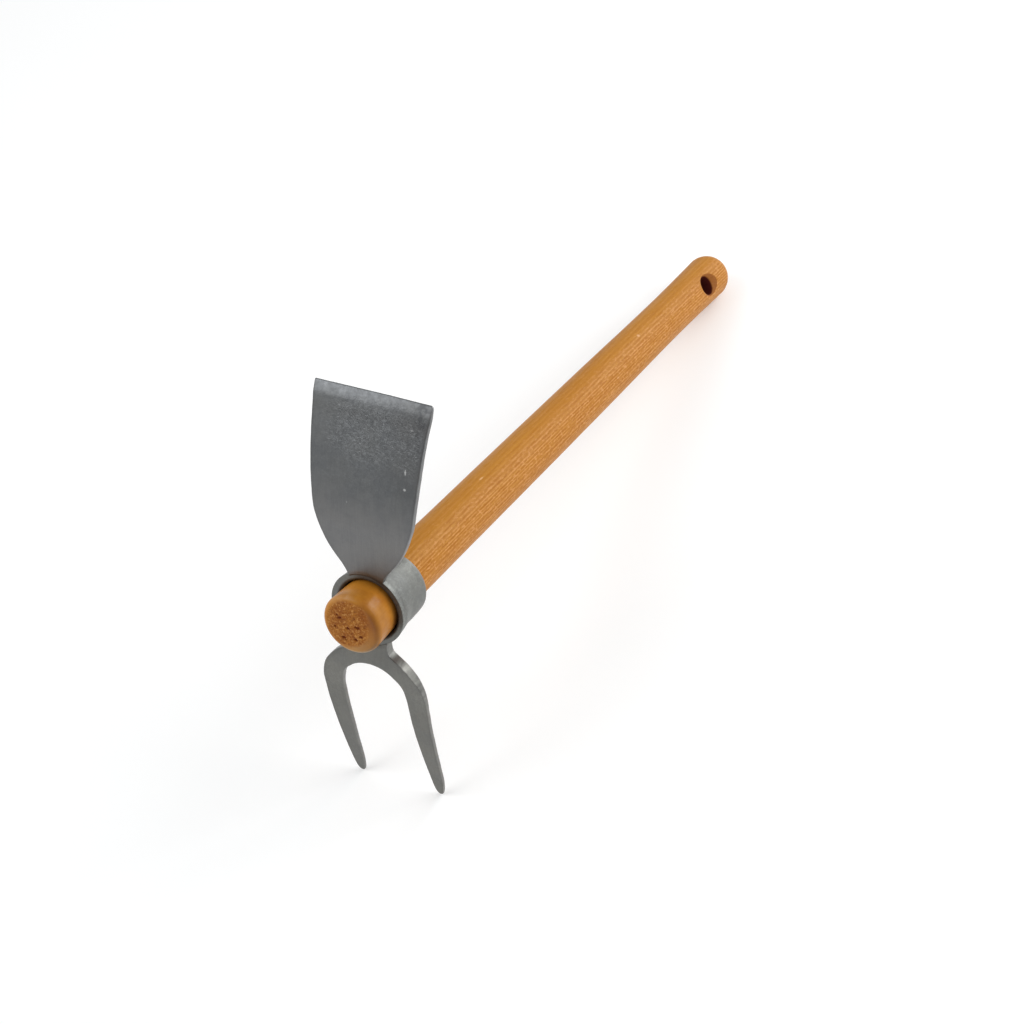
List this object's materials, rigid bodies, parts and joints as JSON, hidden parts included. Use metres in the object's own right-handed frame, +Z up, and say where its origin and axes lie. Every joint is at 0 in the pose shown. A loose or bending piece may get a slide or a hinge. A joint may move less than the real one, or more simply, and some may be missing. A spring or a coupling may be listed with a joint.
{
  "type": "hand mattock with hoe blade and fork",
  "caption": "Short-handled garden hand mattock: broad hoe blade above a conical eye, two-tine fork below it, slip-fitted on a turned wooden handle with a hang hole.",
  "frame": {"origin": "centre of the footprint on the floor, with the tool standing on its two tine tips and the underside of its tail", "axes": "+Z up, +Y along the floor from the head to the tail, +X to the side; the handle axis leans 15.5 degrees down toward the tail"},
  "size_m": [0.0578, 0.3849, 0.2026],
  "materials": {
    "oiled_wood": "satin oiled honey-brown ash, long fine grain, darker end grain",
    "eye_steel": "satin grey, lightly polished cone",
    "blade_steel": "satin slate grey, fine forge pitting above, lengthwise brushing below, lighter ground bevel",
    "fork_steel": "satin slate grey with brighter rounded edges",
    "weld_steel": "rippled weld bead, satin grey"
  },
  "bodies": {
    "head": {"eye_collar": "eye_steel", "hoe_blade": "blade_steel", "fork": "fork_steel", "blade_weld": "weld_steel", "fork_weld": "weld_steel"},
    "handle": {"handle": "oiled_wood"}
  },
  "joints": [
    {"name": "handle_slide", "type": "slide", "parent": "head", "child": "handle", "axis": [0, -0.9636, 0.2675], "range_m": [0, 0.4]}
  ]
}
